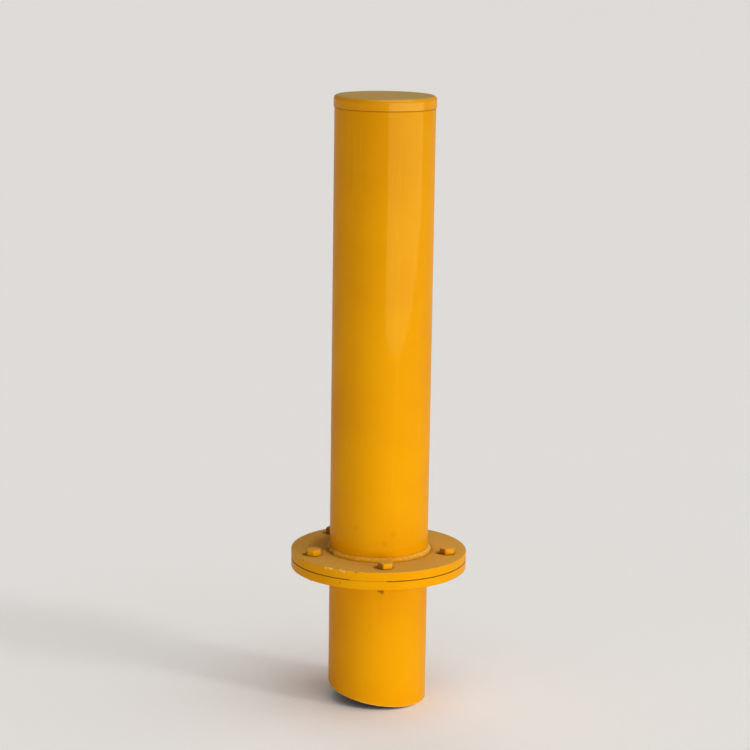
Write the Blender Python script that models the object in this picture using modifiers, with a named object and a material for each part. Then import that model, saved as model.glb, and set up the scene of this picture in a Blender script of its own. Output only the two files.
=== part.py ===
"""Bolt-down steel safety bollard: a flanged pipe post on a flanged pipe stub that is set in the ground.

Metres, +Z up. The origin is on the post's axis at the ground line, which is the underside of the
ground flange. Everything below it is buried when the bollard is in use.
"""
import math

import bpy

# --- driving dimensions ---------------------------------------------------------------------
PIPE_OD = 0.1683            # DN 150 steel pipe, used for the post and for the ground stub
PIPE_WALL = 0.0045
PLATE_T = 0.015             # both flanges are cut from the same plate
BOLT_STANDOFF = 0.03585     # from the pipe's outside to the bolts' axes, room for a socket
RIM_LAND = 0.030            # from the bolts' axes to the flange's rim
BORE_CLEARANCE = 0.0004     # between the pipe and the flange that is slipped over it
PIPE_SETBACK = 0.005        # the pipe's end stops this far short of the flange's mating face
TOP_HEIGHT = 0.806          # the cap's top above the ground line
STUB_DEPTH = 0.220          # the stub's end below the ground line, on its axis
STUB_SLOPE = 0.165          # rise over run of the torch-cut end
STUB_LOW_SIDE = math.radians(-22.0)

CAP_SHEET = 0.001           # pressed sheet cap, pushed over the end of the post
CAP_SKIRT = 0.020
CAP_EDGE_R = 0.005
CAP_CLEARANCE = 0.0004

OUTER_WELD_LEG = 0.006
INNER_WELD_LEG = 0.004
BEAD_BULGE = 0.58           # a flat bead would be 0.5 of the leg from the corner

BOLT_D = 0.016              # M16, 24 mm across flats
BOLT_TAIL = 0.0041          # the shank's end under the nut, which makes the bolt 45 mm long
BOLT_COUNT = 5
BOLT_TURN = math.radians(-12.5)
SHANK_CHAMFER = 0.001
HEX_FLATS = 0.024
HEX_CHAMFER = 0.0012
HEX_FACE_STEP = 0.0004      # the chamfer starts this far inside the flats
HEAD_T = 0.010
NUT_T = 0.010               # thin nut
HOLE_CLEARANCE = 0.002      # on the diameter, between a bolt and a flange's hole
THREAD_CLEARANCE = 0.0008
HEX_TURNS = [math.radians(a) for a in (20.0, 40.0, 8.0, 32.0, 20.0)]     # as the spanner left them
NUT_TURNS = [math.radians(a) for a in (8.0, 25.0, 50.0, 15.0, 29.0)]

GAP = 0.0003                # between pieces that touch
BIG_STEPS = 64              # sides of the pipe and plate
SMALL_STEPS = 24            # sides of the fasteners

# --- sizes and heights that follow from them --------------------------------------------------
PIPE_R = PIPE_OD / 2
PIPE_BORE_R = PIPE_R - PIPE_WALL
PLATE_BORE_R = PIPE_R + BORE_CLEARANCE
BOLT_CIRCLE_R = PIPE_R + BOLT_STANDOFF
PLATE_R = BOLT_CIRCLE_R + RIM_LAND
HOLE_R = (BOLT_D + HOLE_CLEARANCE) / 2
NUT_BORE_R = (BOLT_D + THREAD_CLEARANCE) / 2
GROUND_FACE = PLATE_T                           # top of the ground flange
POST_FACE = GROUND_FACE + GAP                   # underside of the post flange
POST_FLANGE_TOP = POST_FACE + PLATE_T
POST_BOTTOM = POST_FACE + PIPE_SETBACK
CAP_UNDERSIDE = TOP_HEIGHT - CAP_SHEET
POST_TOP = TOP_HEIGHT - CAP_EDGE_R - GAP        # the rim stops where the cap's corner starts to curve in
STUB_TOP = GROUND_FACE - PIPE_SETBACK
HEAD_SEAT = POST_FLANGE_TOP + GAP
NUT_TOP = -GAP
BOLT_LENGTH = HEAD_SEAT - NUT_TOP + NUT_T + BOLT_TAIL

YELLOW = (0.85, 0.40, 0.005, 1.0)
DUSTY_YELLOW = (0.56, 0.29, 0.05, 1.0)
BEAD_YELLOW = (0.80, 0.40, 0.03, 1.0)


def remove_everything():
    """Start from an empty scene."""
    for thing in list(bpy.data.objects):
        bpy.data.objects.remove(thing, do_unlink=True)


def new_collection(name):
    collection = bpy.data.collections.new(name)
    bpy.context.scene.collection.children.link(collection)
    return collection


def painted(name, colour, roughness):
    """A painted-steel material."""
    material = bpy.data.materials.new(name)
    material.use_nodes = True
    shader = material.node_tree.nodes["Principled BSDF"]
    shader.inputs["Base Color"].default_value = colour
    shader.inputs["Roughness"].default_value = roughness
    shader.inputs["Metallic"].default_value = 0.0
    return material


def add_object(name, mesh, material, collection):
    if material is not None:
        mesh.materials.append(material)
    thing = bpy.data.objects.new(name, mesh)
    collection.objects.link(thing)
    return thing


def turned(name, profile, steps, material, collection, closed=True):
    """Turn a (radius, height) outline about Z. It runs down its outer side, from top to bottom."""
    mesh = bpy.data.meshes.new(name)
    edges = [(i, i + 1) for i in range(len(profile) - 1)]
    if closed:
        edges.append((len(profile) - 1, 0))
    mesh.from_pydata([(r, 0.0, z) for r, z in profile], edges, [])
    thing = add_object(name, mesh, material, collection)
    screw = thing.modifiers.new("turn", "SCREW")
    screw.axis = "Z"
    screw.angle = math.tau
    screw.steps = steps
    screw.render_steps = steps
    screw.use_merge_vertices = True
    screw.merge_threshold = 0.00001
    screw.use_smooth_shade = True
    return thing


def ring_outline(outer_r, inner_r, top, bottom):
    """A rectangular ring section."""
    return [(outer_r, top), (outer_r, bottom), (inner_r, bottom), (inner_r, top)]


def fillet_outline(corner_r, corner_z, out, up, leg):
    """A fillet weld's section: a slightly bulging triangle in the corner between two plates.

    out is +1 when the bead grows away from the axis, up is +1 when it grows upwards.
    """
    bulge = BEAD_BULGE * leg
    corner = (corner_r, corner_z)
    foot = (corner_r + out * leg, corner_z)
    belly = (corner_r + out * bulge, corner_z + up * bulge)
    head = (corner_r, corner_z + up * leg)
    outline = [head, belly, foot, corner]
    if out * up < 0:
        outline.reverse()
    return outline


def boolean(thing, cutter, operation):
    """Cut or combine with another object, which stays as a guide in the cutters' collection."""
    step = thing.modifiers.new(operation.lower(), "BOOLEAN")
    step.operation = operation
    step.solver = "EXACT"
    step.object = cutter
    cutter.hide_render = True
    cutter.display_type = "WIRE"
    return step


def bolt_place(index):
    """The place of one bolt on the bolt circle."""
    angle = BOLT_TURN + index * math.tau / BOLT_COUNT
    return BOLT_CIRCLE_R * math.cos(angle), BOLT_CIRCLE_R * math.sin(angle)


def baked(thing):
    """The object's mesh with its modifiers in it, for copies that share one shape."""
    evaluated = thing.evaluated_get(bpy.context.evaluated_depsgraph_get())
    mesh = bpy.data.meshes.new_from_object(evaluated)
    mesh.transform(evaluated.matrix_world)
    return mesh


def move_to(thing, collection):
    """Put a primitive in the collection where it belongs."""
    for owner in list(thing.users_collection):
        owner.objects.unlink(thing)
    collection.objects.link(thing)


def hexagon(name, top, bottom, collection):
    """A hexagonal bar about Z with a corner on +X; its ends are chamfered later."""
    bpy.ops.mesh.primitive_cylinder_add(
        vertices=6,
        radius=HEX_FLATS / math.sqrt(3),
        depth=top - bottom,
        location=(0.0, 0.0, (top + bottom) / 2),
        rotation=(0.0, 0.0, math.radians(30.0)),
    )
    bar = bpy.context.object
    bar.name = name
    bar.hide_render = True
    bar.display_type = "WIRE"
    move_to(bar, collection)
    return bar


def chamfer_blank(name, top, bottom, bottom_too, collection):
    """The turned blank whose coned ends take the corners off a hexagonal bar."""
    corner_r = HEX_FLATS / math.sqrt(3) + HEX_FACE_STEP
    face_r = HEX_FLATS / 2 - HEX_FACE_STEP
    profile = [(0.0, top), (face_r, top), (corner_r, top - HEX_CHAMFER)]
    if bottom_too:
        profile += [(corner_r, bottom + HEX_CHAMFER), (face_r, bottom)]
    else:
        profile.append((corner_r, bottom))
    profile.append((0.0, bottom))
    return turned(name, profile, 2 * SMALL_STEPS, None, collection, closed=False)


def round_bar(name, radius, top, bottom, collection):
    """A plain round bar about Z, for cutting holes."""
    profile = [(0.0, top), (radius, top), (radius, bottom), (0.0, bottom)]
    return turned(name, profile, SMALL_STEPS, None, collection, closed=False)


def make_pipe(name, top, bottom, material, parts):
    outline = ring_outline(PIPE_R, PIPE_BORE_R, top, bottom)
    return turned(name, outline, BIG_STEPS, material, parts)


def make_stub(material, parts, cutters):
    """The pipe that goes into the ground; its lower end is torch cut out of square."""
    tilt = math.atan(STUB_SLOPE)
    reach = 2 * PLATE_R
    raw_end = -STUB_DEPTH - PIPE_OD * STUB_SLOPE
    stub = make_pipe("ground_tube", STUB_TOP, raw_end, material, parts)
    bpy.ops.mesh.primitive_cube_add(size=reach)
    cutter = bpy.context.object
    cutter.name = "stub_end_cutter"
    move_to(cutter, cutters)
    # the cube's top face is the cut: it passes through the axis at the stub's depth
    cutter.rotation_euler = (0.0, tilt, STUB_LOW_SIDE)
    cutter.location = (
        -math.sin(tilt) * math.cos(STUB_LOW_SIDE) * reach / 2,
        -math.sin(tilt) * math.sin(STUB_LOW_SIDE) * reach / 2,
        -STUB_DEPTH - math.cos(tilt) * reach / 2,
    )
    boolean(stub, cutter, "DIFFERENCE")
    return stub


def make_flange(name, top, bottom, material, parts, cutters):
    """A plate ring with its bolt holes, which run right through."""
    outline = ring_outline(PLATE_R, PLATE_BORE_R, top, bottom)
    flange = turned(name, outline, BIG_STEPS, material, parts)
    for index in range(BOLT_COUNT):
        drill_name = f"{name}_drill_{index + 1}"
        drill = round_bar(drill_name, HOLE_R, top + PLATE_T, bottom - PLATE_T, cutters)
        x, y = bolt_place(index)
        drill.location = (x, y, 0.0)
        boolean(flange, drill, "DIFFERENCE")
    return flange


def make_welds(material, parts):
    """A fillet bead outside and inside each flange: four runs in all."""
    outside_r = PIPE_R + GAP
    inside_r = PLATE_BORE_R - GAP
    runs = [
        ("post_outer_weld", outside_r, POST_FLANGE_TOP + GAP, 1, 1, OUTER_WELD_LEG),
        ("post_inner_weld", inside_r, POST_BOTTOM - GAP, -1, -1, INNER_WELD_LEG),
        ("ground_outer_weld", outside_r, -GAP, 1, -1, OUTER_WELD_LEG),
        ("ground_inner_weld", inside_r, STUB_TOP + GAP, -1, 1, INNER_WELD_LEG),
    ]
    return {
        name: turned(name, fillet_outline(r, z, out, up, leg), BIG_STEPS, material, parts)
        for name, r, z, out, up, leg in runs
    }


def make_cap(material, parts):
    """The pressed cap: a flat top, a rounded edge and a short skirt over the post's end."""
    inner_r = PIPE_R + CAP_CLEARANCE
    outer_r = inner_r + CAP_SHEET
    inner_edge_r = CAP_EDGE_R - CAP_SHEET
    arc = [math.radians(a) for a in (0.0, 22.5, 45.0, 67.5, 90.0)]
    profile = [(0.0, TOP_HEIGHT)]
    for a in arc:
        profile.append(
            (
                outer_r - CAP_EDGE_R * (1 - math.sin(a)),
                TOP_HEIGHT - CAP_EDGE_R * (1 - math.cos(a)),
            )
        )
    profile.append((outer_r, TOP_HEIGHT - CAP_SKIRT))
    profile.append((inner_r, TOP_HEIGHT - CAP_SKIRT))
    for a in reversed(arc):
        profile.append(
            (
                inner_r - inner_edge_r * (1 - math.sin(a)),
                CAP_UNDERSIDE - inner_edge_r * (1 - math.cos(a)),
            )
        )
    profile.append((0.0, CAP_UNDERSIDE))
    return turned("top_cap", profile, BIG_STEPS, material, parts, closed=False)


def make_bolts(material, parts, cutters):
    """Hexagon bolts, dropped in from above. Each has its own origin on its axis, at its seat."""
    bar = hexagon("bolt_bar", HEAD_T, 0.0, cutters)
    boolean(bar, chamfer_blank("bolt_blank", HEAD_T, 0.0, False, cutters), "INTERSECT")
    shank_outline = [
        (0.0, HEAD_T / 2),
        (BOLT_D / 2, HEAD_T / 2),
        (BOLT_D / 2, SHANK_CHAMFER - BOLT_LENGTH),
        (BOLT_D / 2 - SHANK_CHAMFER, -BOLT_LENGTH),
        (0.0, -BOLT_LENGTH),
    ]
    shank = turned("bolt_shank", shank_outline, SMALL_STEPS, None, cutters, closed=False)
    boolean(bar, shank, "UNION")
    mesh = baked(bar)
    bolts = []
    for index in range(BOLT_COUNT):
        bolt = add_object(f"bolt_{index + 1}", mesh.copy(), material, parts)
        x, y = bolt_place(index)
        bolt.location = (x, y, HEAD_SEAT)
        bolt.rotation_euler = (0.0, 0.0, HEX_TURNS[index])
        bolts.append(bolt)
    return bolts


def make_nuts(material, parts, cutters):
    """Hexagon nuts under the ground flange, chamfered on both faces."""
    bar = hexagon("nut_bar", 0.0, -NUT_T, cutters)
    boolean(bar, chamfer_blank("nut_blank", 0.0, -NUT_T, True, cutters), "INTERSECT")
    boolean(bar, round_bar("nut_bore", NUT_BORE_R, NUT_T, -2 * NUT_T, cutters), "DIFFERENCE")
    mesh = baked(bar)
    for index in range(BOLT_COUNT):
        nut = add_object(f"nut_{index + 1}", mesh.copy(), material, parts)
        x, y = bolt_place(index)
        nut.location = (x, y, NUT_TOP)
        nut.rotation_euler = (0.0, 0.0, NUT_TURNS[index])


def parent_to_empty(name, height, pieces, parts, holder=None):
    """Hang pieces on an empty that sits on their joint's axis."""
    empty = bpy.data.objects.new(name, None)
    parts.objects.link(empty)
    empty.location = (0.0, 0.0, height)
    if holder is not None:
        empty.parent = holder
        empty.location = (0.0, 0.0, height - holder.location.z)
    for piece in pieces:
        piece.parent = empty
        piece.location.z -= height
    return empty


remove_everything()
parts = new_collection("safety_bollard")
cutters = new_collection("cutters")

paint = painted("yellow_paint", YELLOW, 0.35)
flange_paint = painted("flange_paint", DUSTY_YELLOW, 0.6)
bead_paint = painted("weld_paint", BEAD_YELLOW, 0.45)
cap_paint = painted("cap_paint", YELLOW, 0.4)
fastener_paint = painted("fastener_paint", YELLOW, 0.4)

post_tube = make_pipe("post_tube", POST_TOP, POST_BOTTOM, paint, parts)
make_stub(paint, parts, cutters)
post_flange = make_flange("post_flange", POST_FLANGE_TOP, POST_FACE, flange_paint, parts, cutters)
make_flange("ground_flange", GROUND_FACE, 0.0, flange_paint, parts, cutters)
welds = make_welds(bead_paint, parts)
top_cap = make_cap(cap_paint, parts)
bolts = make_bolts(fastener_paint, parts, cutters)
make_nuts(fastener_paint, parts, cutters)

post_pieces = [post_tube, post_flange, welds["post_outer_weld"], welds["post_inner_weld"]]
post_frame = parent_to_empty("post_frame", POST_FACE, post_pieces + bolts, parts)
parent_to_empty("cap_frame", TOP_HEIGHT, [top_cap], parts, post_frame)
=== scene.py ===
import math
import random

import bpy
from mathutils import Matrix, Vector, noise


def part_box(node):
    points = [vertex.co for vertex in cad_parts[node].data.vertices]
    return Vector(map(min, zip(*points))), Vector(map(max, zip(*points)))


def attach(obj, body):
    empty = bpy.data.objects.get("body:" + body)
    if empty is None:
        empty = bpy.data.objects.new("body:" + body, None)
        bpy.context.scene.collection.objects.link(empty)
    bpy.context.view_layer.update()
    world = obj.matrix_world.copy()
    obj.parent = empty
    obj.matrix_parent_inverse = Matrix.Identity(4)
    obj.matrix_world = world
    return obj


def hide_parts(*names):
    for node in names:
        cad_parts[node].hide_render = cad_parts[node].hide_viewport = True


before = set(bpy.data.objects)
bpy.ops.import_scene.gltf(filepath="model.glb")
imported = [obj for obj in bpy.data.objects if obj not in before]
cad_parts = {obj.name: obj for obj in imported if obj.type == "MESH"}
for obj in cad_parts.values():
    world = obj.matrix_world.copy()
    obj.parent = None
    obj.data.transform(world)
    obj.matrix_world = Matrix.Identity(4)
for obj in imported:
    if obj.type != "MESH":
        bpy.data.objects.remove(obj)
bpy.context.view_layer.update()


# --- Ground tube -------------------------------------------------------------------------------
# A short length of the same drawn pipe as the post. Its lower end was torch cut by eye, so it runs
# out of square and its edge is ragged; the whole stub is concreted in and only sprayed outside.

PIPE_WALL = 0.0045
END_SLOPE = 0.165
END_LOW_SIDE = math.radians(-22.0)
END_BLEND = 0.07            # the rows of the skin lean over into the slanted cut within this height

tube_low, tube_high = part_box("ground_tube")
pipe_r = tube_high.x
bore_r = pipe_r - PIPE_WALL
stub_top = tube_high.z
stub_end = tube_low.z + pipe_r * END_SLOPE


def eased(corners, steps=4):
    """An outline whose corners, each (r, z, easing), are rounded off by their easing."""
    outline = []
    for i, (r, z, easing) in enumerate(corners):
        corner = Vector((r, z))
        if easing == 0.0:
            outline.append((r, z))
            continue
        before = Vector(corners[i - 1][:2]) - corner
        after = Vector(corners[(i + 1) % len(corners)][:2]) - corner
        start = corner + before.normalized() * easing
        end = corner + after.normalized() * easing
        for s in range(steps + 1):
            t = s / steps
            point = start * (1 - t) ** 2 + corner * (2 * t * (1 - t)) + end * t ** 2
            outline.append((point.x, point.y))
    return outline


def straight(r, top, bottom, rows):
    """The points of a wall's run between two corners."""
    return [(r, top + (bottom - top) * (i + 1) / (rows + 1), 0.0) for i in range(rows)]


def turned_skin(name, outline, columns, shape=None, place=Matrix()):
    """A closed skin turned about Z from an outline that runs down its outer side.

    An outline that begins and ends on the axis closes over its two ends; any other closes on itself.
    shape(angle, r, z) gives the point's own radius and height, for what isn't perfectly round.
    """
    capped = outline[0][0] == 0.0
    rings = outline[1:-1] if capped else outline
    rows = len(rings)
    points = []
    for column in range(columns):
        angle = math.tau * column / columns
        for r, z in rings:
            if shape is not None:
                r, z = shape(angle, r, z)
            points.append((r * math.cos(angle), r * math.sin(angle), z))
    faces = []
    for column in range(columns):
        here = column * rows
        there = (column + 1) % columns * rows
        for i in range(rows - 1 if capped else rows):
            j = (i + 1) % rows
            faces.append((here + i, here + j, there + j, there + i))
    if capped:
        top, bottom = len(points), len(points) + 1
        points += [(0.0, 0.0, outline[0][1]), (0.0, 0.0, outline[-1][1])]
        for column in range(columns):
            here = column * rows
            there = (column + 1) % columns * rows
            faces.append((top, here, there))
            faces.append((bottom, there + rows - 1, here + rows - 1))
    mesh = bpy.data.meshes.new(name)
    mesh.from_pydata(points, [], faces)
    mesh.transform(place)
    mesh.shade_smooth()
    mesh.set_sharp_from_angle(angle=math.radians(38.0))
    piece = bpy.data.objects.new(name, mesh)
    bpy.context.scene.collection.objects.link(piece)
    return piece


def wobble(x, y, z, size):
    """A smooth random value from -1 to 1 that changes over about this size."""
    return noise.noise(Vector((x, y, z)) / size)


def on_pipe(angle, z, size, seed=0.0):
    """The same, as it changes over the pipe's surface."""
    return wobble(pipe_r * math.cos(angle) + seed, pipe_r * math.sin(angle), z, size)


def rolled_pipe(angle, r, z):
    """Pipe is never quite round or straight: a slow waviness of under a tenth of a millimetre."""
    return r + 0.00007 * on_pipe(angle, z * 0.5, 0.05) + 0.00002 * on_pipe(angle, z, 0.012), z


def torch_cut(angle, r, z):
    """The stub's own shape: rolled pipe, leaning into the slanted and ragged cut at its lower end."""
    r, z = rolled_pipe(angle, r, z)
    lean = max(0.0, 1.0 - (z - stub_end) / END_BLEND)
    drop = -END_SLOPE * r * math.cos(angle - END_LOW_SIDE)
    rag = 0.0005 * on_pipe(angle, 0.0, 0.006) + 0.0004 * on_pipe(angle, 0.0, 0.0017)
    at_end = max(0.0, 1.0 - (z - stub_end) / 0.004)
    return r + 0.0002 * at_end * on_pipe(angle, r * 3.0, 0.002), z + lean * drop + at_end * rag


stub_outline = eased(
    [(pipe_r, stub_top, 0.0005)]
    + straight(pipe_r, stub_top, stub_end, 40)
    + [(pipe_r, stub_end, 0.0009), (bore_r, stub_end, 0.0005)]
    + straight(bore_r, stub_end, stub_top, 12)
    + [(bore_r, stub_top, 0.0004)]
)
ground_tube = turned_skin("ground_tube_steel", stub_outline, 360, torch_cut)


class Wire:
    """One socket of a paint recipe. Arithmetic on it adds Math nodes to the recipe."""

    def __init__(self, socket):
        self.socket = socket
        self.tree = socket.id_data

    def node(self, kind, settings=None, inputs=None, out=0):
        """Add any other node: its settings first, then its sockets' values or links."""
        made = self.tree.nodes.new(kind)
        for key, value in (settings or {}).items():
            setattr(made, key, value)
        for key, value in (inputs or {}).items():
            if isinstance(value, Wire):
                self.tree.links.new(value.socket, made.inputs[key])
            else:
                made.inputs[key].default_value = value
        return Wire(made.outputs[out])

    def maths(self, operation, a, b=0.0):
        return self.node("ShaderNodeMath", {"operation": operation}, {0: a, 1: b})

    def __add__(self, other):
        return self.maths("ADD", self, other)

    def __sub__(self, other):
        return self.maths("SUBTRACT", self, other)

    def __rsub__(self, other):
        return self.maths("SUBTRACT", other, self)

    def __mul__(self, other):
        return self.maths("MULTIPLY", self, other)

    def __truediv__(self, other):
        return self.maths("DIVIDE", self, other)

    def __pow__(self, other):
        return self.maths("POWER", self, other)

    __radd__ = __add__
    __rmul__ = __mul__


def larger(a, b):
    return a.maths("MAXIMUM", a, b)


def step_up(value, low, high):
    """0 below low, 1 above high, and smooth between."""
    settings = {"interpolation_type": "SMOOTHSTEP"}
    return value.node("ShaderNodeMapRange", settings, {"Value": value, "From Min": low, "From Max": high})


def step_down(value, low, high):
    return 1.0 - step_up(value, low, high)


def blend(mask, without, full):
    """One colour where the mask is 0 and another where it is 1."""
    return mask.node("ShaderNodeMix", {"data_type": "RGBA"}, {0: mask, 6: without, 7: full}, out=2)


def mottle(spot, scale, detail=2.0, stretch=(1.0, 1.0, 1.0), rough=0.5):
    """Noise over the surface, from 0 to 1; scale is in patches to the metre."""
    where = spot.node("ShaderNodeVectorMath", {"operation": "MULTIPLY"}, {0: spot, 1: stretch})
    return spot.node(
        "ShaderNodeTexNoise", None, {"Vector": where, "Scale": scale, "Detail": detail, "Roughness": rough}
    )


def marks(spot, centres, size, scatter):
    """Ragged marks of this size about the given centres."""
    ragged = (mottle(spot, 2.2 / size, 3.0) - 0.5) * (2.0 * scatter * size)
    found = None
    for centre in centres:
        away = spot.node("ShaderNodeVectorMath", {"operation": "DISTANCE"}, {0: spot, 1: centre}, out=1)
        mark = step_down(away + ragged, 0.55 * size, size)
        found = mark if found is None else larger(found, mark)
    return found


def tone(red, green, blue):
    """A colour swatch, read as 0 to 255 on a screen, as the shader wants it."""
    channels = [((v / 255 + 0.055) / 1.055) ** 2.4 if v > 10 else v / 3294 for v in (red, green, blue)]
    return (*channels, 1.0)


YELLOW = tone(222, 150, 0)
YELLOW_DEEP = tone(215, 141, 0)
YELLOW_THIN = tone(226, 158, 6)
DUST = tone(204, 158, 74)
# pale rubbed paint, also used as a painted highlight on the weld bead's right side
FLAKE_AND_HIGHLIGHT = tone(238, 196, 110)
WEATHERED = tone(168, 150, 96)
# dark dirt, also used as painted shade and painted shadow wherever the grime masks ask for it
GRIME_AND_SHADE = tone(104, 62, 18)
MILL_SCALE = tone(74, 68, 66)
RUST = tone(112, 58, 30)
PRIMER = tone(120, 112, 104)


def spot_facts(material):
    """What every recipe starts from: the spot, its distance from the axis, its height and its slope."""
    nodes = material.node_tree.nodes
    spot = Wire(nodes.new("ShaderNodeTexCoord").outputs["Object"])
    x, y, z = [spot.node("ShaderNodeSeparateXYZ", None, {0: spot}, out=i) for i in range(3)]
    facing = Wire(nodes.new("ShaderNodeNewGeometry").outputs["Normal"])
    up = facing.node("ShaderNodeSeparateXYZ", None, {0: facing}, out=2)
    return spot, (x * x + y * y) ** 0.5, z, up


def bearing(spot, from_axis, degrees, half_width):
    """1 within a sector about the axis; 0 degrees is the front and angles grow to the right."""
    angle = math.radians(degrees - 90.0)
    middle = (math.cos(angle), math.sin(angle), 0.0)
    along = spot.node("ShaderNodeVectorMath", {"operation": "DOT_PRODUCT"}, {0: spot, 1: middle}, out=1)
    edge = math.cos(math.radians(half_width))
    return step_up(along / from_axis, edge - 0.002, edge + 0.002)


def nowhere(spot, from_axis, height, up):
    return up * 0.0


def enamel(
    name,
    bare=nowhere,
    scars=nowhere,
    flakes=nowhere,
    grime_and_shade=nowhere,
    dust=1.0,
    dust_tone=DUST,
    peel=1.0,
    shine=1.0,
):
    """Sprayed yellow enamel over steel.

    bare, scars, flakes and grime take the surface facts and give masks: where the steel has no paint,
    where the paint is chipped to a dark mark, where it is rubbed pale or lit by a painted highlight, and
    where dirt has settled or painted shade and shadow darken it. dust is how much lies on faces that look
    up, peel is how heavy the orange peel is, and shine how glossy the coat has stayed.
    """
    material = bpy.data.materials.new(name)
    material.use_nodes = True
    shader = material.node_tree.nodes["Principled BSDF"]
    facts = spot_facts(material)
    spot, up = facts[0], facts[3]

    cloud = mottle(spot, 7.0, 3.0)
    runs = mottle(spot, 70.0, 3.0, stretch=(1.0, 1.0, 0.05))
    fine = mottle(spot, 900.0, 2.0)
    orange_peel = mottle(spot, 260.0, 2.0)
    paint = blend(step_up(cloud, 0.35, 0.75), YELLOW, YELLOW_DEEP)
    paint = blend(step_up(runs, 0.55, 0.8) * 0.35, paint, YELLOW_THIN)
    specks = step_up(mottle(spot, 1400.0, 1.0), 0.74, 0.78) * step_up(cloud, 0.4, 0.6)
    surface = blend(specks * 0.3, paint, GRIME_AND_SHADE)

    lying = step_up(up, 0.55, 0.95) * dust
    patchy = step_up(mottle(spot, 38.0, 5.0, rough=0.65), 0.25, 0.8)
    dusty = lying * (0.6 + 0.4 * patchy)
    surface = blend(dusty, surface, dust_tone)
    grains = step_up(mottle(spot, 520.0, 3.0, rough=0.7), 0.5, 0.68)
    rubbed = step_up(mottle(spot, 130.0, 4.0, rough=0.7), 0.56, 0.7)
    surface = blend(lying * grains * 0.3, surface, GRIME_AND_SHADE)
    surface = blend(lying * rubbed * 0.3, surface, YELLOW_DEEP)

    # this mask carries real dirt and also painted shade and painted shadows
    dirt = grime_and_shade(*facts)
    surface = blend(dirt, surface, GRIME_AND_SHADE)
    # this mask carries pale wear and also a painted highlight on the weld beads
    pale = flakes(*facts)
    surface = blend(pale, surface, FLAKE_AND_HIGHLIGHT)
    scar = scars(*facts)
    surface = blend(scar, surface, blend(step_up(fine, 0.4, 0.6), PRIMER, GRIME_AND_SHADE))

    steel = bare(*facts)
    rusty = step_up(mottle(spot, 90.0, 6.0, rough=0.7), 0.48, 0.62)
    surface = blend(steel, surface, blend(rusty, MILL_SCALE, RUST))

    link = spot.tree.links.new
    link(surface.socket, shader.inputs["Base Color"])
    dulled = larger(larger(dusty, dirt), larger(pale, scar))
    painted = 0.34 + 0.08 * cloud + 0.4 * dulled
    roughness = painted * (1.0 - steel) + (0.5 + 0.25 * rusty) * steel
    link(roughness.socket, shader.inputs["Roughness"])
    link((steel * (1.0 - rusty) * 0.7).socket, shader.inputs["Metallic"])
    link(((1.0 - steel) * (1.0 - dulled) * 0.1 * shine).socket, shader.inputs["Coat Weight"])
    shader.inputs["Coat Roughness"].default_value = 0.035
    shader.inputs["Specular IOR Level"].default_value = 0.02
    shader.inputs["Specular Tint"].default_value = (1.0, 0.6, 0.0, 1.0)
    relief = (orange_peel * 0.5 + fine * 0.12) * peel
    relief = relief + lying * grains * 0.8 - scar * 1.6 - pale * 0.8 + steel * fine * 0.8
    bump = relief.node(
        "ShaderNodeBump", None, {"Strength": 0.3, "Distance": 0.00012, "Height": relief}
    )
    link(bump.socket, shader.inputs["Normal"])
    return material


def inside_stub(spot, from_axis, height, up):
    """No paint reaches the bore, nor the part of the end that sits in the flange."""
    bore = step_down(from_axis, pipe_r - 0.0028, pipe_r - 0.0012)
    burnt = mottle(spot, 160.0, 3.0)
    cut_face = step_down(from_axis + burnt * 0.003, pipe_r - 0.002, pipe_r + 0.001)
    return larger(bore, step_down(up, -0.7, -0.4) * cut_face)


def stub_wear(spot, from_axis, height, up):
    """Paint rubbed pale along the lower edge, and a few scrapes from handling."""
    across = (END_SLOPE * math.cos(END_LOW_SIDE), END_SLOPE * math.sin(END_LOW_SIDE), 1.0)
    over_cut = spot.node("ShaderNodeVectorMath", {"operation": "DOT_PRODUCT"}, {0: spot, 1: across}, out=1)
    ragged = (mottle(spot, 210.0, 5.0, rough=0.7) - 0.5) * 0.012
    edge = step_down(over_cut + ragged, stub_end - 0.001, stub_end + 0.003)
    scrapes = step_up(mottle(spot, 60.0, 5.0, stretch=(1.0, 1.0, 0.35), rough=0.75), 0.7, 0.74)
    return larger(edge * 0.75, scrapes * 0.5)


def fit(piece, material, body, node):
    """Give a piece its finish and hang it on the frame in place of its plain solid."""
    piece.data.materials.clear()
    piece.data.materials.append(material)
    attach(piece, body)
    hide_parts(node)


fit(
    ground_tube,
    enamel("stub_enamel", bare=inside_stub, flakes=stub_wear),
    "ground_socket",
    "ground_tube",
)


# --- Ground flange -----------------------------------------------------------------------------
# A ring profile-cut from 15 mm plate, with five drilled holes. It is slipped over the stub's upper end
# and welded. Its top face was hidden by the post's flange when the paint went on, so it is bare.

HOLE_R = 0.009
HOLE_FLARE = 0.0006         # the drill's burr is taken off with a countersink
BOLT_COUNT = 5
RIM_EASING = 0.0011
CREEP = 0.006               # how far the paint crept in between the two flanges
BRIDGE = -6.5               # bearing of the front stretch where the paint closed the seam

flange_low, flange_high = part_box("ground_flange")
plate_r = flange_high.x
plate_bore_r = pipe_r + 0.0004


def bolt_axis(index):
    """Where a bolt's axis crosses the ground line."""
    nut_low, nut_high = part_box(f"nut_{index + 1}")
    middle = (nut_low + nut_high) / 2
    return Vector((middle.x, middle.y, 0.0))


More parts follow.
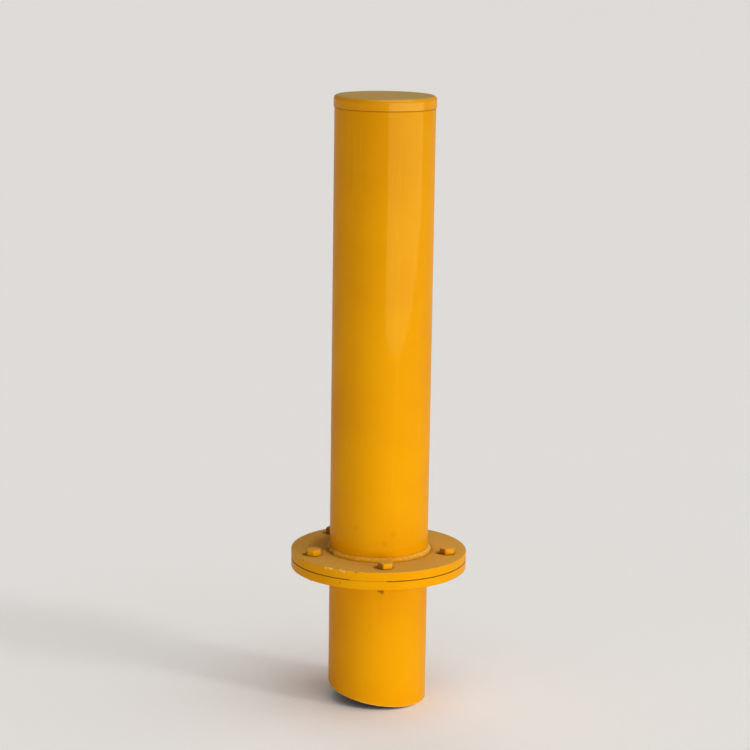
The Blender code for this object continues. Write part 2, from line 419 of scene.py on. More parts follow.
def drilled_ring(name, low, high, mating, seed, knocks=()):
    """A plate ring with its bolt holes. The rim has the faint upright drag lines and slow unevenness of
    the cutting table, and dents where the given knocks, (bearing, depth), landed on its upper edge.
    Where paint bridges the seam, the edge beside the mating face is filled out square."""

    def cut_rim(angle, r, z):
        rim = max(0.0, 1.0 - (plate_r - r) / 0.004)
        x, y = r * math.cos(angle), r * math.sin(angle)
        drag = 0.00008 * wobble(x, y, seed + z * 0.15, 0.0016) + 0.0002 * wobble(x, y, seed, 0.03)
        nick = 0.0006 * max(0.0, wobble(x, y, seed + z, 0.007) - 0.45)
        dent = 0.0
        for where, depth in knocks:
            away = math.remainder(angle - math.radians(where - 90.0), math.tau) * plate_r
            dent += depth * math.exp(-(away / 0.0022) ** 2) * max(0.0, 1.0 - (high - z) / 0.0045)
        if r > plate_r - 0.0013 and abs(z - mating) < 0.0012:
            aside = math.degrees(math.remainder(angle - math.radians(BRIDGE - 90.0), math.tau)) / 12.0
            r += (plate_r - r) * math.exp(-(aside ** 4))
        sag = 0.00012 * wobble(x, y, seed, 0.012) - 0.6 * dent
        return r + rim * (drag - nick - dent), z + rim * sag

    outline = eased(
        [(plate_r, high, RIM_EASING)]
        + straight(plate_r, high, low, 3)
        + [(plate_r, low, RIM_EASING), (plate_bore_r, low, 0.0003), (plate_bore_r, high, 0.0003)]
    )
    ring = turned_skin(name, outline, 540, cut_rim)
    wide = HOLE_R + HOLE_FLARE
    drill_outline = [
        (0.0, high + 0.002),
        (wide + 0.002, high + 0.002),
        (HOLE_R, high - HOLE_FLARE),
        (HOLE_R, low + HOLE_FLARE),
        (wide + 0.002, low - 0.002),
        (0.0, low - 0.002),
    ]
    for index in range(BOLT_COUNT):
        drill = turned_skin("drill", drill_outline, 64, None, Matrix.Translation(bolt_axis(index)))
        cut = ring.modifiers.new("hole", "BOOLEAN")
        cut.operation = "DIFFERENCE"
        cut.object = drill
        drilled = ring.evaluated_get(bpy.context.evaluated_depsgraph_get())
        drilled_mesh = bpy.data.meshes.new_from_object(drilled)
        ring.modifiers.clear()
        ring.data = drilled_mesh
        bpy.data.objects.remove(drill)
    ring.data.shade_smooth()
    ring.data.set_sharp_from_angle(angle=math.radians(38.0))
    return ring


def from_bolts(spot, shift=(0.0, 0.0, 0.0)):
    """The distance to the nearest bolt's axis, or to a line that stands this far beside it."""
    flat_spot = spot.node("ShaderNodeVectorMath", {"operation": "MULTIPLY"}, {0: spot, 1: (1.0, 1.0, 0.0)})
    nearest = None
    for index in range(BOLT_COUNT):
        line = tuple(bolt_axis(index) + Vector(shift))
        away = spot.node("ShaderNodeVectorMath", {"operation": "DISTANCE"}, {0: flat_spot, 1: line}, out=1)
        nearest = away if nearest is None else away.maths("MINIMUM", away, nearest)
    return nearest


def never_sprayed(spot, from_axis, mating):
    """The mating face short of the creep of paint at its rim, the bore, and the bolt holes with the
    rings round them where the heads and nuts kept the paint off."""
    ragged = (mottle(spot, 120.0, 3.0) - 0.5) * 0.008
    face = mating * step_down(from_axis + ragged, plate_r - CREEP, plate_r - CREEP + 0.0015)
    bore = step_down(from_axis, plate_bore_r + 0.0006, plate_bore_r + 0.0012)
    return larger(larger(face, bore), step_down(from_bolts(spot), 0.0112, 0.0118))


def ground_flange_bare(spot, from_axis, height, up):
    """The upper face and all that never_sprayed adds to it."""
    return never_sprayed(spot, from_axis, step_up(up, 0.8, 0.95))


def rim_place(angle_degrees, height, inset=0.0):
    """A point on a flange's rim; 0 degrees faces the front and angles grow to the right."""
    angle = math.radians(angle_degrees - 90.0)
    r = plate_r - inset
    return (r * math.cos(angle), r * math.sin(angle), height)


def seam_dirt(spot, from_axis, height, up):
    """Dirt in the seam between the flanges, faint at the front, where paint has run across it."""
    middle = (flange_high.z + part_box("post_flange")[0].z) / 2
    away = (height - middle).maths("ABSOLUTE", height - middle)
    ragged = (mottle(spot, 110.0, 3.0) - 0.5) * 0.0009
    bridged = bearing(spot, from_axis, BRIDGE, 12.0)
    return step_down(away + ragged, 0.0007, 0.0016) * (1.0 - 0.85 * bridged) * 0.7


def ground_flange_wear(spot, from_axis, height, up):
    """A tick and a pit on the front of the rim, and paint lost along its lower edge."""
    tick = [rim_place(-25.0, 0.0085), rim_place(-25.1, 0.0065), rim_place(-23.0, 0.0146)]
    knocks = marks(spot, [*tick, rim_place(96.0, 0.011), rim_place(170.0, 0.006)], 0.0013, 0.5)
    edge = step_up(from_axis, plate_r - 0.0012, plate_r - 0.0004) * step_down(height, 0.0006, 0.0016)
    flakes = edge * step_up(mottle(spot, 190.0, 5.0, rough=0.7), 0.6, 0.66)
    return larger(knocks * 0.7, flakes * 0.6)


ground_flange = drilled_ring("ground_flange_plate", flange_low.z, flange_high.z, flange_high.z, 1.3)
fit(
    ground_flange,
    enamel(
        "ground_flange_enamel",
        bare=ground_flange_bare,
        scars=ground_flange_wear,
        grime_and_shade=seam_dirt,
        dust=0.2,
        peel=1.3,
    ),
    "ground_socket",
    "ground_flange",
)


# --- Welds of the ground flange ------------------------------------------------------------------
# Fillet runs laid by hand: one under the flange round the pipe, one in the recess over the pipe's end.
# Each run is a row of overlapping ripples, uneven in width, with a lump where it meets its own start.

RIPPLE = 0.0026             # one ripple's length along the run
RIPPLE_DEPTH = 0.00042
OUTER_LEG = 0.006
INNER_LEG = 0.004
SPATTER_COUNT = 26


def weld_run(name, corner_r, corner_z, out, up, leg, columns, seed):
    """A fillet bead in the corner between a wall and a plate; out and up say which way it grows."""
    rows = 11
    ripples = round(math.tau * corner_r / RIPPLE)

    def bead_point(angle, t):
        x, y = corner_r * math.cos(angle), corner_r * math.sin(angle)
        uneven = 1.0 + 0.13 * wobble(x + seed, y, 0.0, 0.014) + 0.07 * wobble(x + seed, y, 0.5, 0.005)
        from_start = math.remainder(angle - seed, math.tau) * corner_r
        lap = math.exp(-(from_start / 0.006) ** 2)
        size = leg * (uneven + 0.22 * lap)
        bow = 4.4 * (t - 0.5) ** 2 + 0.35 * wobble(x, y, seed, 0.02)
        phase = (angle / math.tau * ripples + bow) % 1.0
        ripple = RIPPLE_DEPTH * (math.sin(math.pi * phase ** 0.7) - 0.5) * math.sin(math.pi * t) ** 0.5
        belly = 0.16 * size * math.sin(math.pi * t) + ripple
        bulge = belly * math.sqrt(0.5)
        return corner_r + out * (size * t + bulge), corner_z + up * (size * (1.0 - t) + bulge)

    outline = [(corner_r, corner_z)]
    outline += [(corner_r + out * leg * i / (rows - 1), float(i)) for i in range(rows)]
    if out * up < 0:
        outline.reverse()

    def laid(angle, r, z):
        if (r, z) == (corner_r, corner_z):
            return r, z
        return bead_point(angle, z / (rows - 1))

    return turned_skin(name, outline, columns, laid)


def add_spatter(piece, level, up, seed):
    """Droplets that flew off the run and stuck to the plate beside it."""
    dice = random.Random(seed)
    points, faces = [], []
    for _ in range(SPATTER_COUNT):
        angle = dice.uniform(0.0, math.tau)
        away = pipe_r + OUTER_LEG + 0.003 + dice.expovariate(1 / 0.009)
        size = dice.uniform(0.0004, 0.0011)
        centre = Vector((away * math.cos(angle), away * math.sin(angle), level + up * size * 0.25))
        ball = [(size * math.sin(math.pi * k / 6), size * math.cos(math.pi * k / 6)) for k in range(1, 6)]
        drop = turned_skin("drop", [(0.0, size), *ball, (0.0, -size)], 10, None, Matrix.Translation(centre))
        start = len(points)
        points += [tuple(v.co) for v in drop.data.vertices]
        faces += [tuple(start + i for i in f.vertices) for f in drop.data.polygons]
        bpy.data.objects.remove(drop)
    bead = piece.data
    start = len(bead.vertices)
    joined = bpy.data.meshes.new(piece.name)
    joined.from_pydata(
        [tuple(v.co) for v in bead.vertices] + points,
        [],
        [tuple(f.vertices) for f in bead.polygons] + [tuple(start + i for i in f) for f in faces],
    )
    joined.shade_smooth()
    joined.set_sharp_from_angle(angle=math.radians(60.0))
    piece.data = joined


def bead_soot_and_shade(spot, from_axis, height, up):
    """Smoke and dirt held in the hollows at the bead's toes, and painted shade over its left side."""
    hollows = step_up(mottle(spot, 330.0, 4.0, rough=0.65), 0.62, 0.72) * 0.5
    # painted shade: the bead's left side, away from the light, is darkened
    left = bearing(spot, from_axis, -100.0, 42.0) * step_up(mottle(spot, 150.0, 4.0, rough=0.7), 0.3, 0.6)
    return larger(hollows, left * 0.8)


def bead_dust_and_highlight(spot, from_axis, height, up):
    """Pale dust along the crowns of the ripples, with a painted highlight that makes the right side paler.
    """
    crowns = step_up(up, 0.35, 0.8) * step_up(mottle(spot, 240.0, 3.0), 0.4, 0.6)
    # painted highlight: the crowns on the right side are made paler
    return crowns * (0.3 + 0.4 * bearing(spot, from_axis, 72.0, 48.0))


def unpainted(spot, from_axis, height, up):
    return up * 0.0 + 1.0


weld_enamel = enamel("weld_enamel", flakes=bead_dust_and_highlight, grime_and_shade=bead_soot_and_shade, dust=0.4, peel=0.6)
raw_weld = enamel("raw_weld", bare=unpainted)

ground_outer_weld = weld_run(
    "ground_outer_bead", pipe_r + 0.0002, flange_low.z - 0.0002, 1, -1, OUTER_LEG, 1080, 2.1
)
add_spatter(ground_outer_weld, flange_low.z, -1, 11)
fit(ground_outer_weld, weld_enamel, "ground_socket", "ground_outer_weld")
ground_inner_weld = weld_run(
    "ground_inner_bead", plate_bore_r - 0.0002, stub_top + 0.0002, -1, 1, INNER_LEG, 720, 0.4
)
fit(ground_inner_weld, raw_weld, "ground_socket", "ground_inner_weld")


# --- Nuts --------------------------------------------------------------------------------------
# Five thin M16 nuts, turned up against the underside of the ground flange. They were sprayed with the
# rest; once the stub is concreted in, the concrete keeps them from turning.

HEX_FLATS = 0.024
THREAD_PITCH = 0.002
THREAD_R = 0.0079
THREAD_DEPTH = 0.0012
NUT_TURNS = [math.radians(a) for a in (8.0, 25.0, 50.0, 15.0, 29.0)]
CORNER_EASING = 0.00045     # paint and rolling leave no sharp corner on a hexagon


def hexagon_r(angle, flats):
    """The distance from a hexagon's middle to its edge, with the corners eased."""
    from_flat = angle % (math.pi / 3) - math.pi / 6
    sharp = flats / 2 / math.cos(from_flat)
    corner = flats / math.sqrt(3) - CORNER_EASING
    over = sharp - corner
    soft = CORNER_EASING * 0.6
    return sharp if over < -soft else corner - soft * 0.5 + (over + soft) * 0.12


def thread_r(angle, z, depth, major):
    """A 60 degree thread, with its flat crest and root."""
    phase = (z / THREAD_PITCH - angle / math.tau) % 1.0
    climb = min(1.0, max(0.0, (abs(phase - 0.5) * 2.0 - 0.125) / 0.625))
    return major - depth * climb


def chamfered_hexagon(angle, face_r, level, direction, flats):
    """Where the chamfer's cone meets the facet: the scalloped edge that every hexagon has."""
    side_r = hexagon_r(angle, flats)
    return side_r, level - direction * max(0.0, side_r - face_r) * math.tan(math.radians(30.0))


def make_nut(index):
    """A nut with both faces chamfered and a threaded bore."""
    low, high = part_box(f"nut_{index + 1}")
    top, bottom = high.z, low.z
    face_r = HEX_FLATS / 2 - 0.0004
    bore = 0.0084
    mouth = 0.0092
    thread_rows = 32
    outline = [
        (face_r, top),
        (face_r + 0.0001, top - 0.00005),
        (0.0125, top),
        (0.0126, top - 0.0004),
        (0.0126, bottom + 0.0004),
        (0.0125, bottom),
        (face_r + 0.0001, bottom + 0.00005),
        (face_r, bottom),
        (mouth, bottom),
    ]
    for i in range(thread_rows):
        t = i / (thread_rows - 1)
        outline.append((bore, bottom + 0.0008 + (top - bottom - 0.0016) * t))
    outline.append((mouth, top))

    def facets(angle, r, z):
        if r == 0.0125 or r == 0.0126:
            upper = z > (top + bottom) / 2
            level = top if upper else bottom
            side_r, edge_z = chamfered_hexagon(angle, face_r, level, 1 if upper else -1, HEX_FLATS)
            if r == 0.0125:
                return side_r - 0.00025, edge_z + (0.00012 if upper else -0.00012)
            return side_r, edge_z - (0.00035 if upper else -0.00035)
        if r == bore:
            return thread_r(angle, z, 0.00022, bore), z
        return r, z

    place = Matrix.Translation(bolt_axis(index)) @ Matrix.Rotation(NUT_TURNS[index], 4, "Z")
    return turned_skin(f"nut_{index + 1}_steel", outline, 144, facets, place)


def thread_zinc(spot, from_axis, height, up):
    """Bores and threads stay unpainted."""
    return step_down(from_bolts(spot), 0.0086, 0.009)


def fastener_wear(spot, from_axis, height, up):
    """Paint knocked off corners by the spanner."""
    return step_up(mottle(spot, 420.0, 4.0, rough=0.7), 0.68, 0.74) * 0.45


def fastener_painted_shade(spot, from_axis, height, up):
    """Painted shade on the sides turned left, deeper under the flanges, and a painted shadow over the bolt
    behind the post.
    """
    facing = Wire(spot.tree.nodes.new("ShaderNodeNewGeometry").outputs["Normal"])
    sideways = facing.node("ShaderNodeSeparateXYZ", None, {0: facing}, out=0)
    # painted shade: facets facing left, and more of it under the ground flange
    under_flange_shade = step_down(height, -0.001, 0.0) * 0.12
    left_facet_shade = step_down(sideways - under_flange_shade, -0.63, -0.52) * (0.45 + 0.5 * mottle(spot, 300.0, 3.0))
    # painted shadow: the bolt behind the post is darkened all over
    behind = bearing(spot, from_axis, -138.5, 10.0) * (0.35 + 0.7 * mottle(spot, 200.0, 4.0))
    return larger(left_facet_shade, behind)


# the nuts' grime mask is painted shade on their left facets
nut_enamel = enamel(
    "nut_enamel", bare=thread_zinc, scars=fastener_wear, grime_and_shade=fastener_painted_shade, dust=0.4, peel=0.8
)
for index in range(BOLT_COUNT):
    fit(make_nut(index), nut_enamel, "ground_socket", f"nut_{index + 1}")


# --- Post tube ---------------------------------------------------------------------------------
# The long pipe that stands above ground, sprayed yellow in one go. The coat is heavy and semi-gloss,
# and has picked up small scuffs near its foot. Under the cap's skirt and inside there is no paint.

post_low, post_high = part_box("post_tube")
cap_low, cap_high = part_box("top_cap")

post_outline = eased(
    [(pipe_r, post_high.z, 0.0005)]
    + straight(pipe_r, post_high.z, post_low.z, 130)
    + [(pipe_r, post_low.z, 0.0005), (bore_r, post_low.z, 0.0004)]
    + straight(bore_r, post_low.z, post_high.z, 8)
    + [(bore_r, post_high.z, 0.0004)]
)
post_tube = turned_skin("post_tube_steel", post_outline, 360, rolled_pipe)


def pipe_place(angle_degrees, height):
    """A point on the pipe; 0 degrees faces the front and angles grow to the right."""
    angle = math.radians(angle_degrees - 90.0)
    return (pipe_r * math.cos(angle), pipe_r * math.sin(angle), height)


def post_bare(spot, from_axis, height, up):
    """The bore, the band under the cap and the end inside the flange."""
    bore = step_down(from_axis, pipe_r - 0.0028, pipe_r - 0.0012)
    ragged = (mottle(spot, 150.0, 3.0) - 0.5) * 0.004
    return larger(bore, step_up(height + ragged, cap_low.z + 0.003, cap_low.z + 0.0045))


def post_dirt_and_shade(spot, from_axis, height, up):
    """A painted shade line under the cap's skirt, soft smudges at the front near the foot, and faint ones.
    """
    uneven = (mottle(spot, 60.0, 3.0) - 0.5) * 0.0008
    # painted shade: a dark band on the pipe just under the cap's skirt
    line = step_up(height + uneven, cap_low.z - 0.0024, cap_low.z - 0.0010)
    places = [pipe_place(-27.0, 0.086), pipe_place(17.0, 0.077), pipe_place(7.0, 0.061)]
    front = marks(spot, places, 0.0055, 0.8)
    ragged = mottle(spot, 420.0, 3.0, rough=0.7)
    scatter = step_up(mottle(spot, 48.0, 6.0, stretch=(1.0, 1.0, 0.6), rough=0.8), 0.66, 0.76)
    low_down = step_down(height, 0.1, 0.6)
    return larger(line * 0.5, larger(front * ragged * 0.2, scatter * low_down * ragged * 0.22))


fit(post_tube, enamel("post_enamel", bare=post_bare, grime_and_shade=post_dirt_and_shade), "post", "post_tube")


# --- Post flange -------------------------------------------------------------------------------
# The same ring as below, welded to the post's foot. Its top face catches the dust, and the front of its
# upper edge has lost paint in a few places from knocks and from the spanner.

POST_FLANGE_KNOCKS = [(-35.0, 0.0007), (-31.0, 0.0009), (-28.0, 0.0006), (-24.0, 0.0010), (-14.5, 0.0012)]
HEAD_SHADOW_SHIFT = (-0.0085, 0.001, 0.0)     # where the painted shadow beside each bolt head falls

post_flange_low, post_flange_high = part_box("post_flange")


def post_flange_bare(spot, from_axis, height, up):
    """The underside and all that never_sprayed adds to it."""
    return never_sprayed(spot, from_axis, step_down(up, -0.95, -0.8))


def post_flange_scars(spot, from_axis, height, up):
    """Two dark knocks on the front left of the upper edge, and small flakes round the rest of it."""
    top = post_flange_high.z
    places = [rim_place(-14.5, top - 0.0006, 0.0003), rim_place(-58.0, top - 0.0004, 0.0008)]
    knocks = marks(spot, places, 0.0022, 0.5)
    rim = step_up(from_axis, plate_r - 0.0014, plate_r - 0.0006)
    edge = rim * step_up(height, top - 0.001, top - 0.0003)
    chips = step_up(mottle(spot, 150.0, 5.0, rough=0.7), 0.62, 0.66)
    return larger(knocks * 0.9, edge * chips * 0.6)


def post_flange_flakes(spot, from_axis, height, up):
    """Pale rubbed chips along the front left of the upper edge."""
    top = post_flange_high.z
    places = [rim_place(-35.5, top, 0.001), rim_place(-33.5, top, 0.002), rim_place(-31.5, top, 0.0008)]
    places += [rim_place(-24.5, top, 0.002), rim_place(-22.5, top - 0.001, 0.0)]
    chips = marks(spot, places, 0.0032, 1.0)
    return chips * step_up(mottle(spot, 700.0, 2.0), 0.35, 0.5)


def post_flange_shade_and_seam_dirt(spot, from_axis, height, up):
    """Dirt in the seam; on the top face painted shade round the heads, a painted shadow beside each,
    painted shade along the bead, and painted shadow with some dirt behind the post.
    """
    upper = step_up(height, post_flange_high.z - 0.002, post_flange_high.z - 0.001)
    ragged = mottle(spot, 160.0, 4.0, rough=0.65)
    # painted shade along the foot of the bead
    bead = step_down(from_axis + (ragged - 0.5) * 0.006, pipe_r + 0.007, pipe_r + 0.012) * 0.55
    corner = bearing(spot, from_axis, -118.0, 40.0)
    # painted shadow, with some dirt, behind the post
    behind = corner * step_down(from_axis + ragged * 0.03, 0.118, 0.146) * 0.7
    # painted shade round each head, and a painted shadow to its left
    ring = step_down(from_bolts(spot) + (ragged - 0.5) * 0.006, 0.0135, 0.0175) * 0.5
    head_shadow = step_down(from_bolts(spot, HEAD_SHADOW_SHIFT) + (ragged - 0.5) * 0.004, 0.0095, 0.014)
    found = larger(larger(bead, behind), larger(ring, head_shadow))
    return larger(found * upper * ragged * 1.3, seam_dirt(spot, from_axis, height, up))


post_flange = drilled_ring(
    "post_flange_plate", post_flange_low.z, post_flange_high.z, post_flange_low.z, 0.2, POST_FLANGE_KNOCKS
)
fit(
    post_flange,
    enamel(
        "post_flange_enamel",
        bare=post_flange_bare,
        scars=post_flange_scars,
        flakes=post_flange_flakes,
        grime_and_shade=post_flange_shade_and_seam_dirt,
        peel=1.3,
    ),
    "post",
    "post_flange",
)


# --- Welds of the post flange ------------------------------------------------------------------
# The bead that shows, round the foot of the post, with its spatter on the plate; and the run in the
# recess under the flange, which was never painted.

post_outer_weld = weld_run(
    "post_outer_bead", pipe_r + 0.0002, post_flange_high.z + 0.0002, 1, 1, OUTER_LEG, 1440, 3.3
)
add_spatter(post_outer_weld, post_flange_high.z, 1, 5)
fit(post_outer_weld, weld_enamel, "post", "post_outer_weld")
post_inner_weld = weld_run(
    "post_inner_bead", plate_bore_r - 0.0002, post_low.z - 0.0002, -1, -1, INNER_LEG, 720, 1.9
)
fit(post_inner_weld, raw_weld, "post", "post_inner_weld")


# --- Bolts -------------------------------------------------------------------------------------
# M16 hexagon bolts, threaded all the way, dropped in from above and painted over in place: the heads and
# the ends of the shanks are yellow, and the thread between is still bare zinc.

HEX_TURNS = [math.radians(a) for a in (20.0, 40.0, 8.0, 32.0, 20.0)]
THREAD_ROWS_PER_TURN = 8


def make_bolt(index):
    """A bolt head, its washer face and its thread, down to the chamfered tip."""
    low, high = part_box(f"bolt_{index + 1}")
    seat = post_flange_high.z + 0.0003
    top, tip = high.z, low.z
    face_r = HEX_FLATS / 2 - 0.0004
    root_r = THREAD_R - THREAD_DEPTH
    outline = [
        (0.0, top),
        (face_r * 0.5, top),
        (face_r - 0.0003, top),
        (0.0125, top),
        (0.0126, top - 0.0004),
        (0.0127, seat + 0.0006),
        (0.0127, seat + 0.0004),
        (0.0112, seat + 0.0003),
        (0.0112, seat),
        (THREAD_R, seat),
    ]
    turns = (seat - tip - 0.003) / THREAD_PITCH
    rows = int(turns * THREAD_ROWS_PER_TURN)
    for i in range(rows + 1):
        outline.append((THREAD_R - 0.00001, seat - 0.0015 - (seat - tip - 0.003) * i / rows))
    outline += [(root_r, tip + 0.0003), (root_r - 0.0004, tip), (0.0, tip)]

    def facets(angle, r, z):
        if r == 0.0125 or r == 0.0126:
            side_r, edge_z = chamfered_hexagon(angle, face_r, top, 1, HEX_FLATS)
            return (side_r - 0.00025, edge_z + 0.00012) if r == 0.0125 else (side_r, edge_z - 0.00035)
        if r == 0.0127:
            return hexagon_r(angle, HEX_FLATS) - (0.0002 if z < seat + 0.0005 else 0.0), z
        if r == THREAD_R - 0.00001:
            fade = min(1.0, max(0.0, (z - tip - 0.0008) / 0.0015))
            return thread_r(angle, z, THREAD_DEPTH, THREAD_R) * fade + root_r * (1.0 - fade), z
        return r, z

    place = Matrix.Translation(bolt_axis(index)) @ Matrix.Rotation(HEX_TURNS[index], 4, "Z")
    return turned_skin(f"bolt_{index + 1}_steel", outline, 96, facets, place)


def bolt_bare(spot, from_axis, height, up):
    """The shank between the head's seat and the nut's lower face."""
    nut_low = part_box("nut_1")[0].z
    below_head = step_down(height, post_flange_high.z + 0.0003, post_flange_high.z + 0.0006)
    return below_head * step_up(height, nut_low - 0.0003, nut_low + 0.0006)


# the bolts' grime mask is painted shade on their left facets and a painted shadow on the one behind the
# post
bolt_enamel = enamel(
    "bolt_enamel", bare=bolt_bare, scars=fastener_wear, grime_and_shade=fastener_painted_shade, dust=0.8, peel=0.8
)
for index in range(BOLT_COUNT):
    fit(make_bolt(index), bolt_enamel, f"bolt_{index + 1}_body", f"bolt_{index + 1}")


# --- Top cap -----------------------------------------------------------------------------------
# A cap pressed from 1 mm sheet and pushed over the post's end. Pressing leaves the rim rounded, the top
# a little uneven and the skirt's lower edge not quite level. Its top is dull with dust and weather.

CAP_SHEET = 0.001
CAP_EDGE_R = 0.007

cap_r = cap_high.x
cap_outline = [(0.0, cap_high.z)]
cap_outline += [(cap_r * f, cap_high.z) for f in (0.15, 0.3, 0.45, 0.6, 0.72, 0.82, 0.9)]
for k in range(9):
    a = math.pi / 2 * k / 8
    inward, down = CAP_EDGE_R * (1 - math.sin(a)), CAP_EDGE_R * (1 - math.cos(a))
    cap_outline.append((cap_r - inward, cap_high.z - down))
skirt_top = cap_high.z - CAP_EDGE_R
skirt_rows = 5
for k in range(1, skirt_rows):
    cap_outline.append((cap_r, skirt_top - (skirt_top - cap_low.z) * k / skirt_rows))
cap_outline += [
    (cap_r, cap_low.z + 0.0003),
    (cap_r - 0.0003, cap_low.z),
    (cap_r - CAP_SHEET + 0.0002, cap_low.z),
    (cap_r - CAP_SHEET, cap_low.z + 0.0002),
]
for k in range(8, -1, -1):
    a = math.pi / 2 * k / 8
    inner = CAP_EDGE_R - CAP_SHEET
    cap_outline.append((
        cap_r - CAP_SHEET - inner * (1 - math.sin(a)),
        cap_high.z - CAP_SHEET - inner * (1 - math.cos(a)),
    ))
cap_outline.append((0.0, cap_high.z - CAP_SHEET))


def pressed(angle, r, z):
    """Slight unevenness from the press, most of it on the flat top, and a skirt edge that isn't level."""
    x, y = r * math.cos(angle), r * math.sin(angle)
    flat = max(0.0, 1.0 - r / (cap_r - CAP_EDGE_R)) if z > cap_high.z - 0.002 else 0.0
    lift = 0.0005 * flat * wobble(x, y, 0.0, 0.05) - 0.0006 * flat
    low_edge = max(0.0, 1.0 - (z - cap_low.z) / 0.006)
    level = 0.00025 * low_edge * wobble(x, y, 3.0, 0.03)
    return r + 0.00006 * wobble(x, y, z, 0.02), z + lift + level


def cap_bare(spot, from_axis, height, up):
    """The inside of the cap."""
    lining = step_down(from_axis, cap_r - 0.0006, cap_r - 0.0004)
    return lining * step_down(up, -0.2, 0.2) * step_down(height, cap_high.z - 0.0008, cap_high.z - 0.0006)


def cap_wear(spot, from_axis, height, up):
    """Small rubs along the rounded edge."""
    edge = step_up(from_axis, cap_r - 0.004, cap_r - 0.002)
    edge = edge * step_up(height, cap_high.z - 0.004, cap_high.z - 0.001)
    return edge * step_up(mottle(spot, 170.0, 5.0, rough=0.75), 0.64, 0.7) * 0.6


top_cap = turned_skin("top_cap_sheet", cap_outline, 360, pressed)
fit(
    top_cap,
    enamel("cap_enamel", bare=cap_bare, flakes=cap_wear, dust_tone=WEATHERED, peel=1.2, shine=2.2),
    "cap",
    "top_cap",
)


# --- Floor, light and camera -------------------------------------------------------------------
# A plain pale studio floor that meets the stub's lowest point, a broad bright wall of light to the right
# and in front, soft light from above and behind, and a camera a little above the post's top.

floor_mesh = bpy.data.meshes.new("floor")
FLOOR_R = 60.0
FLOOR_SIDES = 64
turns = [math.tau * k / FLOOR_SIDES for k in range(FLOOR_SIDES)]
corners = [(FLOOR_R * math.cos(turn), FLOOR_R * math.sin(turn), tube_low.z) for turn in turns]
floor_mesh.from_pydata(corners, [], [tuple(range(FLOOR_SIDES))])
floor = bpy.data.objects.new("floor", floor_mesh)
bpy.context.scene.collection.objects.link(floor)
floor_paint = bpy.data.materials.new("floor_paint")
floor_paint.use_nodes = True
floor_shader = floor_paint.node_tree.nodes["Principled BSDF"]
floor_shader.inputs["Base Color"].default_value = (0.92, 0.905, 0.89, 1.0)
floor_shader.inputs["Roughness"].default_value = 0.9
floor_shader.inputs["Specular IOR Level"].default_value = 0.1
floor_mesh.materials.append(floor_paint)


def place_at(turn, distance, rise=0.0):
    """A point by its bearing from the front, growing to the right, its distance and its rise."""
    angle = math.radians(turn - 90.0)
    level = distance * math.cos(math.radians(rise))
    height = distance * math.sin(math.radians(rise))
    return Vector((level * math.cos(angle), level * math.sin(angle), height))


def softbox(name, turn, distance, low, high, width, power, faces=None):
    """An upright panel of light that faces the bollard, or squarely away from the bearing in faces."""
    data = bpy.data.lights.new(name, "AREA")
    data.shape = "RECTANGLE"
    data.size = width
    data.size_y = high - low
    data.energy = power
    lamp = bpy.data.objects.new(name, data)
    bpy.context.scene.collection.objects.link(lamp)
    lamp.location = place_at(turn, distance) + Vector((0.0, 0.0, (low + high) / 2))
    outwards = place_at(turn if faces is None else faces, 1.0)
    lamp.rotation_euler = outwards.to_track_quat("Z", "Y").to_euler()
    lamp.visible_camera = False
    return lamp


def soft_sun(name, turn, rise, spread, energy):
    """A far lamp; the wider its spread in degrees, the softer its shadows."""
    data = bpy.data.lights.new(name, "SUN")
    data.energy = energy
    data.angle = math.radians(spread)
    lamp = bpy.data.objects.new(name, data)
    bpy.context.scene.collection.objects.link(lamp)
    lamp.rotation_euler = place_at(turn, 1.0, rise).to_track_quat("Z", "Y").to_euler()
    return lamp


def spare_floor(lamp):
    """Keep a lamp that stands on the floor from burning a bright patch into it."""
    spared = bpy.data.collections.new(f"{lamp.name}_spares")
    spared.objects.link(floor)
    spared.collection_objects[0].light_linking.link_state = "EXCLUDE"
    lamp.light_linking.receiver_collection = spared


ROOF_AIM = 0.4              # the height on the post that the roof light points at

mirrored_wall = softbox("mirrored_wall", 68.0, 3.81, tube_low.z + 0.01, 0.95, 7.3, 185.0, faces=33.4)
mirrored_wall.data.color = (0.92, 1.0, 0.45)
mirrored_wall.visible_diffuse = False
spare_floor(mirrored_wall)
mirrored_roof = softbox("mirrored_roof", 20.0, 1.6, 2.6, 4.2, 4.0, 120.0)
from_post = mirrored_roof.location - Vector((0.0, 0.0, ROOF_AIM))
mirrored_roof.rotation_euler = from_post.to_track_quat("Z", "Y").to_euler()
mirrored_roof.visible_diffuse = False
near_fill = softbox("near_fill", 25.0, 1.5, tube_low.z + 0.02, tube_low.z + 0.31, 2.6, 15.0)
near_fill.data.color = (0.96, 1.0, 0.9)
near_fill.visible_glossy = False
spare_floor(near_fill)
soft_sun("key", 62.0, 20.0, 10.0, 0.75)
soft_sun("overhead", 60.0, 70.0, 60.0, 1.05)
soft_sun("behind", -170.0, 42.0, 40.0, 0.36)

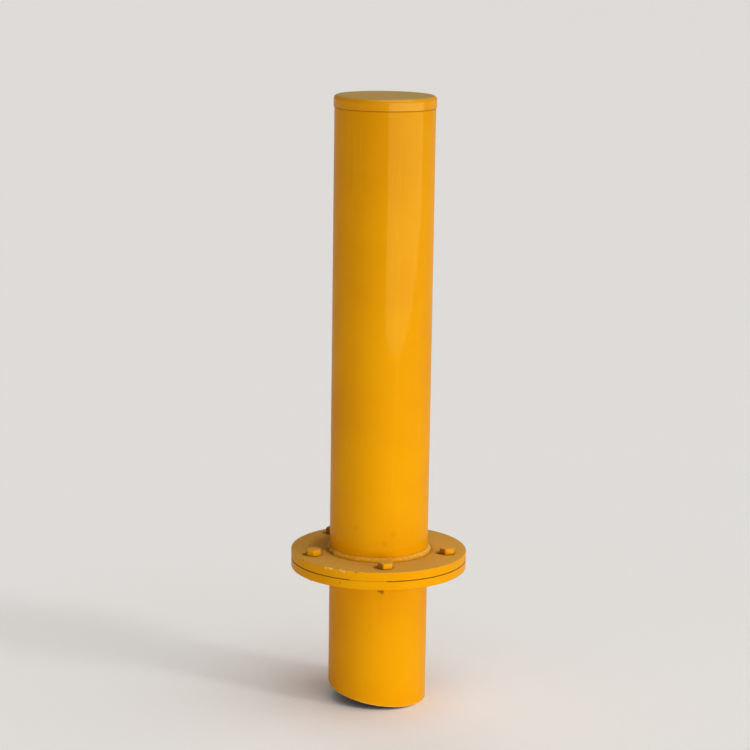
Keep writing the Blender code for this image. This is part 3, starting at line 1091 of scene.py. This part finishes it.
world = bpy.data.worlds.new("studio")
world.use_nodes = True
bpy.context.scene.world = world
SKY_TURN = math.radians(38.0)
SKY_RISE = math.radians(24.0)
background = world.node_tree.nodes["Background"]
direction = Wire(world.node_tree.nodes.new("ShaderNodeTexCoord").outputs["Generated"])
bright_side = (
    math.sin(SKY_TURN) * math.cos(SKY_RISE),
    -math.cos(SKY_TURN) * math.cos(SKY_RISE),
    math.sin(SKY_RISE),
)
towards = direction.node(
    "ShaderNodeVectorMath", {"operation": "DOT_PRODUCT"}, {0: direction, 1: bright_side}, out=1
)
sky = blend(step_up(towards, -0.1, 0.35), (0.2, 0.175, 0.155, 1.0), (0.41, 0.41, 0.4, 1.0))
seen = Wire(world.node_tree.nodes.new("ShaderNodeLightPath").outputs["Is Camera Ray"])
sky = blend(seen, sky, (0.7, 0.7, 0.7, 1.0))
world.node_tree.links.new(sky.socket, background.inputs["Color"])
bpy.context.scene.view_settings.view_transform = "Standard"

CAMERA_DISTANCE = 3.779
CAMERA_OVER_FLANGE = 1.0872
CAMERA_TILT = math.radians(11.72)
CAMERA_TURN = math.radians(-0.16)
CAMERA_ROLL = math.radians(0.84)
CAMERA_LENS = 109.5

view_line = Vector((
    math.sin(CAMERA_TURN) * math.cos(CAMERA_TILT),
    math.cos(CAMERA_TURN) * math.cos(CAMERA_TILT),
    -math.sin(CAMERA_TILT),
))
level_right = Vector((math.cos(CAMERA_TURN), -math.sin(CAMERA_TURN), 0.0))
level_up = level_right.cross(view_line)
frame_right = level_right * math.cos(CAMERA_ROLL) + level_up * math.sin(CAMERA_ROLL)
frame_up = level_up * math.cos(CAMERA_ROLL) - level_right * math.sin(CAMERA_ROLL)
camera_data = bpy.data.cameras.new("camera")
camera_data.lens = CAMERA_LENS
camera_data.clip_end = 200.0
camera = bpy.data.objects.new("camera", camera_data)
bpy.context.scene.collection.objects.link(camera)
stance = Matrix((frame_right, frame_up, -view_line)).transposed().to_4x4()
stance.translation = (0.0, -CAMERA_DISTANCE, post_flange_high.z + CAMERA_OVER_FLANGE)
camera.matrix_world = stance
bpy.context.scene.camera = camera
